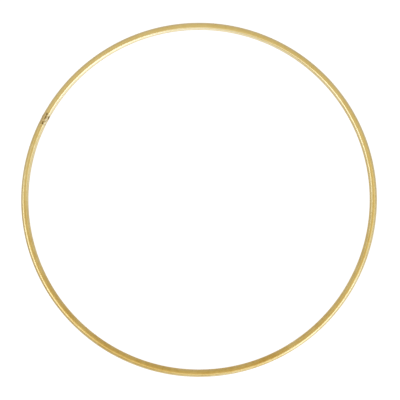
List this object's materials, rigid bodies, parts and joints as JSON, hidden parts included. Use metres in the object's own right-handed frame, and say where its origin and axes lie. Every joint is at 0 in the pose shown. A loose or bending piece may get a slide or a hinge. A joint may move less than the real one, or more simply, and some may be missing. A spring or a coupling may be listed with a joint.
{
  "type": "wreath frame",
  "caption": "Plain round hoop of thin gold-plated steel tube, closed by a pinned and welded joint, that a wreath or other hanging decoration is built on.",
  "frame": {"origin": "centre of the hoop, on the flat surface that it lies on", "axes": "+Z is the hoop's axis, up off the surface it lies on; +Y points to the top of the hoop as it hangs; the joint is 152.6 degrees round from +X, seen from above"},
  "size_m": [0.3, 0.3, 0.0061],
  "materials": {
    "gold_plating": "satin",
    "burnt_plating": "matte",
    "pin_steel": "satin"
  },
  "bodies": {
    "root": {"hoop_tube": "gold_plating", "joint_pin": "pin_steel", "seam_weld": "burnt_plating", "plug_weld_upper": "burnt_plating", "plug_weld_lower": "burnt_plating"}
  },
  "joints": []
}
